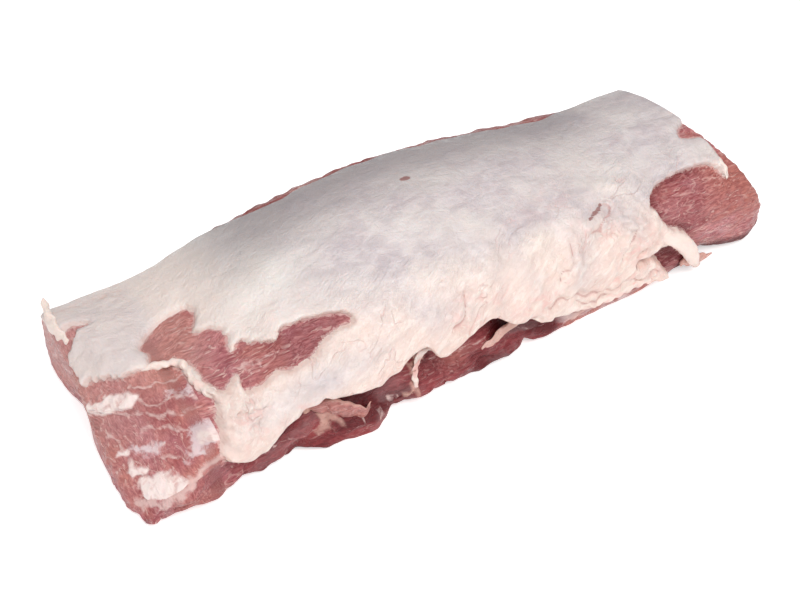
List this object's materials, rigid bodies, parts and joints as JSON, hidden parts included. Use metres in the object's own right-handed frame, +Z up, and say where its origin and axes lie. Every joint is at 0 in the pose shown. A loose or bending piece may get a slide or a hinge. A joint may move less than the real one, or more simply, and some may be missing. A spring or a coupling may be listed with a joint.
{
  "type": "boneless pork loin",
  "caption": "Long raw boneless pork loin lying flat, lean muscle under a draped fat cap with bare lean patches and cut end faces.",
  "frame": {"origin": "centre of the bounding box, on the flat underside the loin lies on", "axes": "+X along the loin towards its squarer far end, +Y towards the back side, +Z up out of the underside; the fat cap overhangs on the -Y side"},
  "size_m": [0.4196, 0.1468, 0.0841],
  "materials": {
    "lean": "moist raw lean, soft sheen",
    "fat": "moist cream fat and silver skin, soft sheen"
  },
  "bodies": {
    "root": {"lean_loin": "lean", "fat_cap": "fat"}
  },
  "joints": []
}
